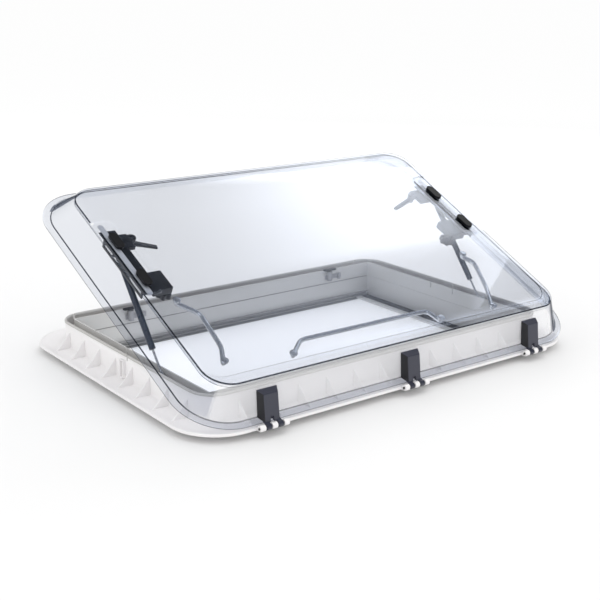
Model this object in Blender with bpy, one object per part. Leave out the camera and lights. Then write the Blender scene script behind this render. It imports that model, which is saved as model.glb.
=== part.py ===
"""Hinged double-glazed roof light for a motor caravan, held open on two side stays.

+X runs along the hinge side, +Y from the hinge side to the free edge, +Z up. The origin is on the
underside of the outer frame's flange, in the middle of the hinge side. Lengths are in metres.
The lid and all it carries are modelled in the lid's own axes (u along the hinge, v across the lid,
w out of it) under an empty on the hinge axis, which holds the opening angle.
"""

from math import atan2, cos, degrees, hypot, pi, radians, sin

import bmesh
import bpy
from mathutils import Matrix, Vector

# Driving dimensions
FLANGE_LENGTH = 1.060
FLANGE_DEPTH = 0.776
FLANGE_THICK = 0.0055
FLANGE_RADIUS = 0.105
SEAT_INSET = 0.030            # from the flange's front edge to the origin
COLLAR_INSETS = (0.051, 0.064, 0.072)   # at the ends, the hinge side and the free side
COLLAR_WALL = 0.0035
COLLAR_TOP = 0.058
COLLAR_RADIUS = 0.056
CHANNEL_FLOOR = 0.041
OPENING_INSET = 0.031         # from the collar's outer face to the opening
OPENING_RADIUS = 0.004
LINER_WALL = 0.003
LINER_TOP = 0.0595
JOINT_LINE = 0.022
FRAME_BOTTOM = -0.039
SEAL_TOP = 0.0642
OPENING_ANGLE = radians(25.5)
LID_HALF = 0.537
LID_FRONT = 0.012
LID_BACK = 0.790
LID_RADIUS = 0.112
PLATE_HALF = 0.4855
PLATE_FRONT = 0.064
PLATE_BACK = 0.716
PLATE_RADIUS = 0.058
PLATE_TOP = 0.070
GLAZING = 0.003
POCKET_FLOOR = 0.065
PANE_TOP = 0.060
PANE_THICK = 0.0025
HINGE_AHEAD = 0.011           # hinge axis in front of the flange's edge
HINGE_HEIGHT = 0.007
HINGE_PLACES = (-0.370, 0.0, 0.370)
KNUCKLE_RADIUS = 0.0066
KNUCKLE_WIDTH = 0.012
KNUCKLE_PITCH = 0.014
PIN_RADIUS = 0.0025
GAP = 0.0003
RIB_PITCH = 0.0728
RIB_THICK = 0.0025
RIB_TOP = 0.042
STAY_X = 0.460
STAY_FOOT_Y = 0.256
STAY_FOOT_Z = 0.050
STAY_SLOT = (0.505, 0.046)    # where the stay's pin stands in its slot: v and w on the lid
LEVER_PIVOT = (0.408, 0.547)
KNOB_PIVOT = (0.408, 0.389)
CAP_PLACES = (0.525, 0.399)
CAP_U = 0.458
CATCH_X = 0.305
CORNER_STEPS = 7

FRONT_Y = -SEAT_INSET
COLLAR = (
    FLANGE_LENGTH / 2 - COLLAR_INSETS[0],
    FRONT_Y + COLLAR_INSETS[1],
    FRONT_Y + FLANGE_DEPTH - COLLAR_INSETS[2],
)
OPENING = (COLLAR[0] - OPENING_INSET, COLLAR[1] + OPENING_INSET, COLLAR[2] - OPENING_INSET)
HINGE_Y = FRONT_Y - HINGE_AHEAD

for old in list(bpy.data.objects):
    bpy.data.objects.remove(old, do_unlink=True)
roof_light = bpy.data.collections.new("roof_light")
cutters = bpy.data.collections.new("cutters")
cutters.hide_render = True
for collection in (roof_light, cutters):
    bpy.context.scene.collection.children.link(collection)


# Materials

def material(name, colour, roughness, metallic=0.0, alpha=1.0):
    made = bpy.data.materials.new(name)
    made.use_nodes = True
    shader = made.node_tree.nodes["Principled BSDF"]
    shader.inputs["Base Color"].default_value = (*colour, 1.0)
    shader.inputs["Roughness"].default_value = roughness
    shader.inputs["Metallic"].default_value = metallic
    shader.inputs["Alpha"].default_value = alpha
    return made


FINISHES = {
    "white_shell": ((0.86, 0.85, 0.84), 0.45, 0.0, 1.0),
    "seal_grey": ((0.34, 0.33, 0.32), 0.7, 0.0, 1.0),
    "liner_grey": ((0.52, 0.52, 0.51), 0.5, 0.0, 1.0),
    "clear_glazing": ((0.86, 0.89, 0.94), 0.05, 0.0, 0.3),
    "black_moulding": ((0.012, 0.013, 0.017), 0.45, 0.0, 1.0),
    "hinge_black": ((0.03, 0.034, 0.05), 0.4, 0.0, 1.0),
    "steel": ((0.55, 0.56, 0.58), 0.3, 1.0, 1.0),
    "stay_paint": ((0.025, 0.035, 0.055), 0.35, 0.2, 1.0),
    "aluminium": ((0.62, 0.64, 0.66), 0.3, 1.0, 1.0),
    "spacer_grey": ((0.62, 0.64, 0.66), 0.5, 0.0, 1.0),
    "screen_fabric": ((0.12, 0.12, 0.12), 0.9, 0.0, 1.0),
    "blind_fabric": ((0.5, 0.5, 0.48), 0.9, 0.0, 1.0),
    "bar_grey": ((0.7, 0.7, 0.69), 0.45, 0.0, 1.0),
}


def dress(thing, finish, parent=None, smooth=False):
    """Gives a piece its own material, its parent and its shading, and puts it in the object's collection."""
    thing.data.materials.clear()
    thing.data.materials.append(material(thing.name + "_" + finish, *FINISHES[finish]))
    thing.parent = parent
    for change in thing.modifiers:
        change.object.parent = parent
    if smooth:
        thing.data.shade_smooth()
        thing.data.set_sharp_from_angle(angle=radians(35))
    return thing


# Shapes

def new_object(name, mesh, collection=roof_light):
    made = bpy.data.objects.new(name, mesh)
    collection.objects.link(made)
    return made


def from_bmesh(name, bm, collection=roof_light):
    bmesh.ops.remove_doubles(bm, verts=bm.verts, dist=1e-6)
    bmesh.ops.recalc_face_normals(bm, faces=bm.faces)
    if bm.calc_volume(signed=True) < 0:
        bmesh.ops.reverse_faces(bm, faces=bm.faces)
    mesh = bpy.data.meshes.new(name)
    bm.to_mesh(mesh)
    bm.free()
    return new_object(name, mesh, collection)


def block(name, low, high, bevel=0.0, collection=roof_light):
    bm = bmesh.new()
    bmesh.ops.create_cube(bm, size=1.0)
    size = Vector(high) - Vector(low)
    bmesh.ops.scale(bm, vec=size, verts=bm.verts)
    bmesh.ops.translate(bm, vec=Vector(low) + size / 2, verts=bm.verts)
    if bevel:
        bmesh.ops.bevel(bm, geom=bm.edges, offset=bevel, segments=2, profile=0.5, affect="EDGES")
    return from_bmesh(name, bm, collection)


def rod(name, start, end, radius, collection=roof_light, steps=16):
    """A closed cylinder from start to end."""
    along = Vector(end) - Vector(start)
    bm = bmesh.new()
    bmesh.ops.create_cone(
        bm, cap_ends=True, segments=steps, radius1=radius, radius2=radius, depth=along.length
    )
    turn = Vector((0, 0, 1)).rotation_difference(along).to_matrix().to_4x4()
    middle = Matrix.Translation((Vector(start) + Vector(end)) / 2)
    bmesh.ops.transform(bm, matrix=middle @ turn, verts=bm.verts)
    return from_bmesh(name, bm, collection)


def ball(name, centre, radius, collection=roof_light):
    bm = bmesh.new()
    bmesh.ops.create_uvsphere(bm, u_segments=16, v_segments=10, radius=radius)
    bmesh.ops.translate(bm, vec=centre, verts=bm.verts)
    return from_bmesh(name, bm, collection)


def rounded_outline(half, front, back, radius):
    """Points round a rectangle with rounded corners, centred on X."""
    corners = (
        (half - radius, front + radius, -90),
        (half - radius, back - radius, 0),
        (radius - half, back - radius, 90),
        (radius - half, front + radius, 180),
    )
    points = []
    for x, y, start in corners:
        for step in range(CORNER_STEPS + 1):
            angle = radians(start + 90 * step / CORNER_STEPS)
            points.append((x + radius * cos(angle), y + radius * sin(angle)))
    return points


def prism(name, outlines, low, high, collection=roof_light):
    """A flat outline, or a ring of two, given its thickness along Z."""
    curve = bpy.data.curves.new(name, "CURVE")
    curve.dimensions = "2D"
    curve.fill_mode = "BOTH"
    curve.extrude = (high - low) / 2
    for outline in outlines:
        spline = curve.splines.new("POLY")
        spline.points.add(len(outline) - 1)
        spline.use_cyclic_u = True
        for point, (x, y) in zip(spline.points, outline):
            point.co = (x, y, 0, 1)
    return curve_to_mesh(name, curve, Matrix.Translation((0, 0, (low + high) / 2)), collection)


def curve_to_mesh(name, curve, place, collection=roof_light):
    guide = bpy.data.objects.new(name + "_guide", curve)
    bpy.context.scene.collection.objects.link(guide)
    graph = bpy.context.evaluated_depsgraph_get()
    mesh = bpy.data.meshes.new_from_object(guide.evaluated_get(graph))
    bpy.data.objects.remove(guide, do_unlink=True)
    bm = bmesh.new()
    bm.from_mesh(mesh)
    bpy.data.meshes.remove(mesh)
    bmesh.ops.transform(bm, matrix=place, verts=bm.verts)
    return from_bmesh(name, bm, collection)


def tube(name, points, radius, collection=roof_light):
    curve = bpy.data.curves.new(name, "CURVE")
    curve.dimensions = "3D"
    curve.bevel_depth = radius
    curve.bevel_resolution = 3
    curve.use_fill_caps = True
    spline = curve.splines.new("POLY")
    spline.points.add(len(points) - 1)
    for point, place in zip(spline.points, points):
        point.co = (*place, 1)
    return curve_to_mesh(name, curve, Matrix.Identity(4), collection)


def loft(name, stations, closed, collection=roof_light):
    """Rounded rectangles (half, front, back, radius, height) joined in turn: a ring when closed."""
    bm = bmesh.new()
    rings = []
    for half, front, back, radius, height in stations:
        outline = rounded_outline(half, front, back, radius)
        rings.append([bm.verts.new((x, y, height)) for x, y in outline])
    pairs = list(zip(rings, rings[1:]))
    if closed:
        pairs.append((rings[-1], rings[0]))
    else:
        bm.faces.new(rings[0])
        bm.faces.new(rings[-1][::-1])
    for first, second in pairs:
        for i in range(len(first)):
            bm.faces.new((first[i - 1], second[i - 1], second[i], first[i]))
    return from_bmesh(name, bm, collection)


def inset(outline, by):
    """A (half, front, back) rectangle moved inwards."""
    half, front, back = outline
    return half - by, front + by, back - by


def ring_wall(name, outer, wall, radius, low, high):
    edges = [
        rounded_outline(*outer, radius),
        rounded_outline(*inset(outer, wall), radius - wall),
    ]
    return prism(name, edges, low, high)


def combine(target, tool, operation):
    """Joins a tool to a piece, or cuts it away. The tool goes to the cutters."""
    if tool.name in roof_light.objects:
        roof_light.objects.unlink(tool)
        cutters.objects.link(tool)
    tool.hide_render = True
    tool.display_type = "WIRE"
    change = target.modifiers.new(tool.name, "BOOLEAN")
    change.operation = operation
    change.object = tool


def gather(name, pieces):
    """Several separate solids as one tool."""
    bm = bmesh.new()
    for piece in pieces:
        bm.from_mesh(piece.data)
        bpy.data.objects.remove(piece, do_unlink=True)
    mesh = bpy.data.meshes.new(name)
    bm.to_mesh(mesh)
    bm.free()
    return new_object(name, mesh, cutters)


def mirrored(name, source, parent=None):
    """The same piece on the other side of the middle plane."""
    bm = bmesh.new()
    bm.from_mesh(source.data)
    bmesh.ops.scale(bm, vec=(-1, 1, 1), verts=bm.verts)
    bmesh.ops.reverse_faces(bm, faces=bm.faces)
    return dress_like(from_bmesh(name, bm), source, parent)


def dress_like(thing, source, parent):
    thing.parent = parent
    finish = source.data.materials[0].name[len(source.name) + 1:]
    return dress(thing, finish, parent)


def empty(name, place, turn=(0, 0, 0), parent=None):
    made = bpy.data.objects.new(name, None)
    roof_light.objects.link(made)
    made.location = place
    made.rotation_euler = turn
    made.parent = parent
    return made


# Outer frame: flange, collar, stay channel, gussets and hinge knuckles in one moulding

def frame_station(outline, radius, height):
    return (*outline, radius, height)


def outer_frame():
    edge = (FLANGE_LENGTH / 2, FRONT_Y, FRONT_Y + FLANGE_DEPTH)
    edge_round = 0.0015
    inner = inset(COLLAR, COLLAR_WALL)
    inner_radius = COLLAR_RADIUS - COLLAR_WALL
    channel = inset(OPENING, -LINER_WALL - 0.0004)
    channel_radius = OPENING_RADIUS + LINER_WALL
    floor_thick = 0.003
    stations = [
        frame_station(edge, FLANGE_RADIUS, 0.0),
        frame_station(edge, FLANGE_RADIUS, FLANGE_THICK - edge_round),
        frame_station(inset(edge, edge_round), FLANGE_RADIUS - edge_round, FLANGE_THICK),
        frame_station(COLLAR, COLLAR_RADIUS, FLANGE_THICK),
        frame_station(COLLAR, COLLAR_RADIUS, COLLAR_TOP),
        frame_station(inner, inner_radius, COLLAR_TOP),
        frame_station(inner, inner_radius, CHANNEL_FLOOR),
        frame_station(channel, channel_radius, CHANNEL_FLOOR),
        frame_station(channel, channel_radius, CHANNEL_FLOOR - floor_thick),
        frame_station(inner, inner_radius, CHANNEL_FLOOR - floor_thick),
        frame_station(inner, inner_radius, 0.0),
    ]
    frame = loft("outer_frame", stations, closed=True)
    combine(frame, gather("gussets", gussets()), "UNION")
    combine(frame, gather("frame_knuckles", frame_knuckles()), "UNION")
    combine(frame, gather("pin_holes", pin_holes("frame_pin_hole")), "DIFFERENCE")
    combine(frame, gather("drain_notches", drain_notches()), "DIFFERENCE")
    return dress(frame, "white_shell")


def gusset(name, wall, foot, across, along):
    """A triangular web from the collar, at wall, to its foot near the flange's edge."""
    root = 0.001
    half = RIB_THICK / 2
    bottom = FLANGE_THICK - root
    bm = bmesh.new()
    corners = ((wall - root, bottom), (wall - root, RIB_TOP), (wall + root, RIB_TOP), (foot, bottom))
    face = bm.faces.new([bm.verts.new((-out, -half, up)) for out, up in corners])
    sweep = bmesh.ops.extrude_face_region(bm, geom=[face])
    moved = [item for item in sweep["geom"] if isinstance(item, bmesh.types.BMVert)]
    bmesh.ops.translate(bm, vec=(0, RIB_THICK, 0), verts=moved)
    bmesh.ops.transform(bm, matrix=Matrix.Translation(along) @ across, verts=bm.verts)
    return from_bmesh(name, bm)


def gussets():
    """Webs outwards from each wall of the collar. Wall and foot are measured outwards from the origin."""
    foot_inset, middle = 0.0145, FRONT_Y + 0.382
    end_foot = FLANGE_LENGTH / 2 - foot_inset
    sides = (
        (0, COLLAR[0], end_foot, 8),
        (pi, COLLAR[0], end_foot, 8),
        (-pi / 2, COLLAR[2], FRONT_Y + FLANGE_DEPTH - foot_inset, 12),
        (pi / 2, -COLLAR[1], 0.010, 12),
    )
    made = []
    for turn, wall, foot, count in sides:
        for step in range(count):
            shift = RIB_PITCH * (step - (count - 1) / 2)
            along = (0, middle + shift, 0) if count == 8 else (shift, 0, 0)
            made.append(gusset("gusset", wall, foot, Matrix.Rotation(turn, 4, "Z"), along))
    return made


def knuckle_spans(first, count):
    """The two ends along X of each knuckle: the frame has the even ones, the lid the odd ones."""
    for place in HINGE_PLACES:
        for step in range(count):
            middle = place + (first + 2 * step - 2) * KNUCKLE_PITCH
            yield middle - KNUCKLE_WIDTH / 2, middle + KNUCKLE_WIDTH / 2


def frame_knuckles():
    made = []
    for low, high in knuckle_spans(0, 3):
        made.append(
            rod("frame_knuckle", (low, HINGE_Y, HINGE_HEIGHT), (high, HINGE_Y, HINGE_HEIGHT), KNUCKLE_RADIUS)
        )
    lug_depth = HINGE_AHEAD + 0.004
    for low, high in knuckle_spans(0, 3):
        start = HINGE_Y
        made.append(
            block("frame_lug", (low + 0.0005, start, 0.0006), (high - 0.0005, start + lug_depth, FLANGE_THICK - 0.0002))
        )
    return [united("frame_knuckle_group", made[i], made[i + 9]) for i in range(9)]


def united(name, first, second):
    """Two overlapping solids as one mesh."""
    change = first.modifiers.new("join", "BOOLEAN")
    change.operation = "UNION"
    change.object = second
    graph = bpy.context.evaluated_depsgraph_get()
    mesh = bpy.data.meshes.new_from_object(first.evaluated_get(graph))
    for used in (first, second):
        bpy.data.objects.remove(used, do_unlink=True)
    return new_object(name, mesh)


def pin_holes(name, y=HINGE_Y, z=HINGE_HEIGHT):
    half = 0.040
    return [
        rod(name, (place - half, y, z), (place + half, y, z), PIN_RADIUS + GAP)
        for place in HINGE_PLACES
    ]


def drain_notches():
    """Slots through the collar's top edge that let water out of the stay channel."""
    half, deep = 0.0015, 0.0075
    low, high = COLLAR_TOP - deep, COLLAR_TOP + 0.01
    made = []
    for x in (-0.437, 0.422):
        made.append(block("notch", (x - half, COLLAR[2] - 0.01, low), (x + half, COLLAR[2] + 0.01, high)))
    for x in (-COLLAR[0], COLLAR[0]):
        y = FRONT_Y + 0.367
        made.append(block("notch", (x - 0.01, y - half, low), (x + 0.01, y + half, high)))
    return made


# Rim seal, liner and inner frame

def rim_seal():
    width, lift = 0.0055, COLLAR_TOP + GAP
    outer = inset(COLLAR, -0.001)
    return dress(ring_wall("rim_seal", outer, width, COLLAR_RADIUS, lift, SEAL_TOP), "seal_grey")


def upper_liner():
    outer = inset(OPENING, -LINER_WALL)
    liner = ring_wall(
        "upper_liner", outer, LINER_WALL, OPENING_RADIUS + LINER_WALL, JOINT_LINE + GAP, LINER_TOP
    )
    half, deep = 0.0015, 0.014
    slots = []
    for side in (-1, 1):
        for y in (0.340, 0.421):
            low = (side * OPENING[0] - 0.008, FRONT_Y + y - half, LINER_TOP - deep)
            high = (side * OPENING[0] + 0.008, FRONT_Y + y + half, LINER_TOP + 0.01)
            slots.append(block("slot", low, high))
    combine(liner, gather("liner_slots", slots), "DIFFERENCE")
    return dress(liner, "liner_grey")


def inner_frame():
    outer = inset(OPENING, -LINER_WALL)
    radius = OPENING_RADIUS + LINER_WALL
    ledge, thick = 0.022, 0.003
    lip = inset(outer, -ledge)
    lip_radius = radius + ledge
    stations = [
        frame_station(OPENING, OPENING_RADIUS, JOINT_LINE),
        frame_station(OPENING, OPENING_RADIUS, FRAME_BOTTOM),
        frame_station(lip, lip_radius, FRAME_BOTTOM),
        frame_station(lip, lip_radius, FRAME_BOTTOM + thick),
        frame_station(outer, radius, FRAME_BOTTOM + thick),
        frame_station(outer, radius, JOINT_LINE),
    ]
    return dress(loft("inner_frame", stations, closed=True), "liner_grey")


# Pleated blind and insect screen, with their guide rails

RAIL_TOP, RAIL_BOTTOM = -0.020, -0.0387
TRACKS = {"blind": (-0.0286, -0.0220), "screen": (-0.0368, -0.0309)}
BAR_WIDTH = 0.015
BAR_X = 0.412
PACK_X = (0.421, 0.446)


def guide_rail(name, wall, inward):
    """A rail with two grooves, one for the blind's bar and one for the screen's."""
    reach, skin, half = 0.0078, 0.0012, OPENING[0] - 0.0045
    web = wall + inward * GAP
    low, high = sorted((web, web + inward * reach))
    rail = block(name, (-half, low, RAIL_BOTTOM), (half, high, RAIL_TOP))
    for track, (bottom, top) in TRACKS.items():
        room = 0.0004
        low, high = sorted((web + inward * skin, web + inward * (reach + 0.01)))
        groove = block(
            name + "_" + track, (-half - 0.01, low, bottom - room), (half + 0.01, high, top + room)
        )
        combine(rail, groove, "DIFFERENCE")
    return dress(rail, "liner_grey")


def covering(kind, side, finish):
    """One folded covering: its pack and tray at one end of the opening, and the grip bar in front of it."""
    bottom, top = TRACKS[kind]
    reach = 0.0030
    front, back = OPENING[1] + reach, OPENING[2] - reach
    clear = 0.0054
    x_low, x_high = sorted((side * PACK_X[0], side * PACK_X[1]))
    pack = block(
        kind + "_pleats", (x_low, front + clear, bottom + GAP), (x_high, back - clear, top), 0.0008
    )
    dress(pack, finish)
    tray_top = bottom - GAP
    tray = block(
        kind + "_tray",
        (x_low, front + clear, tray_top - 0.0012),
        (x_high, back - clear, tray_top),
    )
    dress(tray, "liner_grey")
    grip = block(
        kind + "_bar", (-BAR_WIDTH / 2, front - BAR_MIDDLE, bottom), (BAR_WIDTH / 2, back - BAR_MIDDLE, top), 0.001
    )
    grip.location = (side * BAR_X, BAR_MIDDLE, 0)
    dress(grip, "bar_grey")


BAR_MIDDLE = (OPENING[1] + OPENING[2]) / 2


# Catches on the free side of the liner

def catch(name, side):
    x = side * CATCH_X
    wall = OPENING[2] - GAP
    plate = block(name, (x - 0.011, wall - 0.0020, 0.033), (x + 0.045, wall, 0.046), 0.0005)
    post = rod("post", (x, wall - 0.008, 0.031), (x, wall - 0.008, 0.0565), 0.0070)
    combine(plate, post, "UNION")
    hook = block("hook", (x + 0.030, wall - 0.010, 0.031), (x + 0.036, wall - 0.001, 0.048), 0.0008)
    combine(plate, hook, "UNION")
    stud = rod("stud", (x, wall - 0.008, 0.055), (x, wall - 0.008, 0.0598), 0.0030)
    combine(plate, stud, "UNION")
    dress(plate, "spacer_grey")
    half, end = 0.021, 0.007
    outline = []
    for step in range(2 * CORNER_STEPS + 2):
        angle = -pi / 2 + pi * (step % (CORNER_STEPS + 1)) / CORNER_STEPS
        shift = half - end if step <= CORNER_STEPS else end - half
        angle += pi if step > CORNER_STEPS else 0
        outline.append((shift + end * cos(angle), end * sin(angle)))
    turn_button = prism(name + "_button", [outline], 0.0601, 0.0638)
    turn_button.location = (x, wall - 0.008, 0)
    dress(turn_button, "black_moulding")


# The lid's axis, its two panes and the hinges

lid_axis = empty("lid_axis", (0, HINGE_Y, HINGE_HEIGHT), (OPENING_ANGLE, 0, 0))


def outer_dome():
    rim_low, rim_high = -0.001, 0.002
    rim = (LID_HALF, LID_FRONT, LID_BACK)
    plate = (PLATE_HALF, PLATE_FRONT, PLATE_BACK)
    foot = inset(rim, 0.015)
    under = inset(rim, 0.018)
    ease = 0.0022
    stations = [
        (*inset(plate, ease), PLATE_RADIUS - ease, PLATE_TOP),
        (*plate, PLATE_RADIUS, PLATE_TOP - 0.0010),
        (*foot, LID_RADIUS - 0.015, rim_high),
        (*rim, LID_RADIUS, rim_high),
        (*rim, LID_RADIUS, rim_low),
        (*under, LID_RADIUS - 0.018, rim_low),
        (*inset(plate, GLAZING), PLATE_RADIUS - GLAZING, PLATE_TOP - GLAZING),
    ]
    dome = loft("outer_dome", stations, closed=False)
    for side, name in ((-1, "left"), (1, "right")):
        middle = side * (0.431 + 0.487) / 2
        boss = [(x + middle, y) for x, y in rounded_outline(0.0280, 0.349, 0.599, 0.024)]
        combine(dome, prism(name + "_pocket_boss", [boss], POCKET_FLOOR - GLAZING, 0.0680), "UNION")
        beyond = side * (0.434 + 0.567) / 2
        wide = [(x + beyond, y) for x, y in rounded_outline(0.0665, 0.352, 0.596, 0.021)]
        combine(dome, prism(name + "_pocket", [wide], POCKET_FLOOR, 0.090), "DIFFERENCE")
    return dress(dome, "clear_glazing", lid_axis)


def inner_pane():
    outline = rounded_outline(0.485, 0.064, 0.718, 0.058)
    pane = prism("inner_pane", [outline], PANE_TOP - PANE_THICK, PANE_TOP)
    return dress(pane, "clear_glazing", lid_axis)


def hinge_cover(name, place):
    """A tapered cover on the dome's hinge-side wall, with two knuckles on the pin."""
    back, front = 0.0245, 0.0170
    top = 0.052
    bottom = 0.0026
    sides = (
        (back, 0.0532, top), (front, 0.0360, top), (front, 0.0055, bottom + 0.003),
        (front, 0.0075, bottom), (back, 0.0262, bottom),
    )
    bm = bmesh.new()
    left = [bm.verts.new((-half, v, w)) for half, v, w in sides]
    right = [bm.verts.new((half, v, w)) for half, v, w in sides]
    bm.faces.new(left)
    bm.faces.new(right[::-1])
    for i in range(len(sides)):
        bm.faces.new((left[i - 1], right[i - 1], right[i], left[i]))
    bmesh.ops.recalc_face_normals(bm, faces=bm.faces)
    bmesh.ops.bevel(bm, geom=bm.edges, offset=0.0009, segments=2, profile=0.5, affect="EDGES")
    cover = from_bmesh(name, bm)
    for side in (-1, 1):
        middle = side * KNUCKLE_PITCH
        low, high = middle - KNUCKLE_WIDTH / 2, middle + KNUCKLE_WIDTH / 2
        knuckle = rod("cover_knuckle", (low, 0, 0), (high, 0, 0), KNUCKLE_RADIUS - 0.0002)
        arm = block("cover_arm", (low + 0.0004, 0.0, 0.0026), (high - 0.0004, 0.0150, 0.0058))
        combine(cover, united("cover_arms", knuckle, arm), "UNION")
    hole = rod("cover_hole", (-0.04, 0, 0), (0.04, 0, 0), PIN_RADIUS + GAP)
    combine(cover, hole, "DIFFERENCE")
    notch = block("cover_notch", (-0.0035, -0.002, 0.0), (0.0035, 0.0135, 0.0115))
    combine(cover, notch, "DIFFERENCE")
    dress(cover, "hinge_black", lid_axis)
    for moved in (cover, *[change.object for change in cover.modifiers]):
        moved.location = (place, 0, 0)


def hinges():
    names = ("left", "middle", "right")
    half = 0.0355
    for name, place in zip(names, HINGE_PLACES):
        hinge_cover(name + "_hinge_cover", place)
        pin = rod(name + "_hinge_pin", (-half, 0, 0), (half, 0, 0), PIN_RADIUS)
        pin.location = (place, HINGE_Y, HINGE_HEIGHT)
        dress(pin, "black_moulding", smooth=True)


# Side fittings: spacer, caps, rail, latch block with lever, clamp block with knob

def obround(u, v, half_width, half_length):
    return [(x + u, y) for x, y in rounded_outline(half_width, v - half_length, v + half_length, half_width - 1e-5)]


def side_fittings(side, name):
    """The parts bolted along one end of the lid. The left side has side -1."""
    spacer_outline = [
        (x + side * 0.4710, y) for x, y in rounded_outline(0.0135, 0.354, 0.592, 0.010)
    ]
    spacer = prism(name + "_spacer", [spacer_outline], PANE_TOP + GAP, POCKET_FLOOR - GLAZING - GAP)
    dress(spacer, "spacer_grey", lid_axis)
    for place, which in zip(CAP_PLACES, ("rear", "front")):
        cap = prism(
            name + "_" + which + "_cap",
            [obround(side * CAP_U, place, 0.0100, 0.0250)],
            POCKET_FLOOR + GAP,
            0.0715,
        )
        dress(cap, "black_moulding", lid_axis)

    under = PANE_TOP - PANE_THICK - GAP
    plate_low = under - 0.0029
    low, high = sorted((side * 0.473, side * 0.435))
    rail = block(name + "_rail", (low, 0.362, plate_low), (high, 0.574, under))
    low, high = sorted((side * 0.473, side * 0.470))
    lug = block("lug", (low, 0.372, 0.036), (high, 0.551, under - 0.001))
    combine(rail, lug, "UNION")
    slot_outline = [(0.378, 0.0385), (0.543, 0.0385), (0.543, 0.0515), (0.378, 0.0515)]
    slot_low = STAY_SLOT[1] - 0.0039
    slot_high = STAY_SLOT[1] + 0.0039
    slot = block(
        "slot", (low - 0.004, slot_outline[0][0], slot_low), (high + 0.004, slot_outline[1][0], slot_high)
    )
    combine(rail, slot, "DIFFERENCE")
    dress(rail, "black_moulding", lid_axis)

    block_top = plate_low - GAP
    low, high = sorted((side * 0.446, side * 0.413))
    latch = block(name + "_latch_block", (low, 0.515, 0.0440), (high, 0.562, block_top), 0.0020)
    boss_place = (side * LEVER_PIVOT[0], LEVER_PIVOT[1])
    boss = rod("boss", (*boss_place, 0.0440), (*boss_place, block_top), 0.0105, steps=24)
    combine(latch, boss, "UNION")
    bore = rod("bore", (side * LEVER_PIVOT[0], LEVER_PIVOT[1], 0.02), (side * LEVER_PIVOT[0], LEVER_PIVOT[1], 0.07), 0.0033)
    combine(latch, bore, "DIFFERENCE")
    dress(latch, "black_moulding", lid_axis)

    low, high = sorted((side * 0.446, side * 0.400))
    clamp = block(name + "_clamp_block", (low, 0.371, 0.0355), (high, 0.430, block_top), 0.0025)
    dress(clamp, "black_moulding", lid_axis)

    lever_axis = empty(
        name + "_lever_axis", (side * LEVER_PIVOT[0], LEVER_PIVOT[1], 0), parent=lid_axis
    )
    hub = rod(name + "_lever", (0, 0, 0.0330), (0, 0, 0.0437), 0.0085)
    tip = Vector((-side * 0.061, -0.016, 0))
    across = Vector((-tip.y, tip.x, 0)).normalized()
    bm = bmesh.new()
    corners = []
    for along, half, low, high in ((0.0, 0.0062, 0.0345, 0.0425), (1.0, 0.0050, 0.0250, 0.0300)):
        middle = tip * along
        ends = [middle + across * half, middle - across * half]
        corners += [bm.verts.new((p.x, p.y, z)) for z in (low, high) for p in ends]
    a, b, c, d, e, f, g, h = corners
    for face in ((a, b, d, c), (e, g, h, f), (a, c, g, e), (b, f, h, d), (a, e, f, b), (c, d, h, g)):
        bm.faces.new(face)
    bmesh.ops.recalc_face_normals(bm, faces=bm.faces)
    bmesh.ops.bevel(bm, geom=bm.edges, offset=0.0012, segments=2, profile=0.5, affect="EDGES")
    arm = from_bmesh("lever_arm", bm)
    combine(hub, arm, "UNION")
    bore = rod("lever_bore", (0, 0, 0.02), (0, 0, 0.06), 0.0033)
    combine(hub, bore, "DIFFERENCE")
    dress(hub, "black_moulding", lever_axis)

    pivot = rod(name + "_lever_pin", (0, 0, 0.0320), (0, 0, block_top - 0.002), 0.0030)
    washer = rod("washer", (0, 0, 0.0305), (0, 0, 0.0327), 0.0060)
    combine(pivot, washer, "UNION")
    dress(pivot, "steel", lever_axis)

    knob_axis = empty(name + "_knob_axis", (side * KNOB_PIVOT[0], KNOB_PIVOT[1], 0), parent=lid_axis)
    lobes, radius, swing = 6, 0.0155, 0.0025
    outline = []
    for step in range(48):
        angle = 2 * pi * step / 48
        reach = radius + swing * cos(lobes * angle)
        outline.append((reach * cos(angle), reach * sin(angle)))
    knob = prism(name + "_clamp_knob", [outline], 0.0180, 0.0310)
    neck = rod("neck", (0, 0, 0.0300), (0, 0, 0.0352), 0.0080)
    combine(knob, neck, "UNION")
    dress(knob, "black_moulding", knob_axis)


# Handles under the inner pane

def bar_path(feet, grips, lift):
    """A handle: straight out of each foot, then bent through its grip points on one smooth curve."""
    (start, end), steps = feet, 5
    under = PANE_TOP - PANE_THICK - GAP
    controls = [
        Vector((*start, under)), Vector((*start, lift)), *[Vector(grip) for grip in grips],
        Vector((*end, lift)), Vector((*end, under)),
    ]
    points = [controls[0]]
    for before, corner, after in zip(controls, controls[1:], controls[2:]):
        reach = min(0.016, (before - corner).length / 2, (after - corner).length / 2)
        first = corner + (before - corner).normalized() * reach
        last = corner + (after - corner).normalized() * reach
        for step in range(steps + 1):
            t = step / steps
            points.append(first * (1 - t) ** 2 + corner * 2 * t * (1 - t) + last * t ** 2)
    points.append(controls[-1])
    return points


def handle(name, feet, grips):
    bar = tube(name, bar_path(feet, grips, 0.046), 0.0052)
    under = PANE_TOP - PANE_THICK - GAP
    for u, v in feet:
        combine(bar, rod(name + "_foot", (u, v, under - 0.004), (u, v, under), 0.0085), "UNION")
    dress(bar, "aluminium", lid_axis)


HANDLES = {
    "left_handle": (((-0.416, 0.331), (-0.414, 0.141)), ((-0.372, 0.300, 0.033), (-0.382, 0.196, 0.033))),
    "front_handle": (((-0.262, 0.118), (0.146, 0.117)), ((-0.205, 0.166, 0.035), (0.150, 0.164, 0.035))),
    "right_handle": (((0.372, 0.299), (0.311, 0.116)), ((0.408, 0.285, 0.033), (0.368, 0.190, 0.033))),
}


# Stays: foot bracket on the frame, rod, and cylinder with its sliding pin

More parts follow.
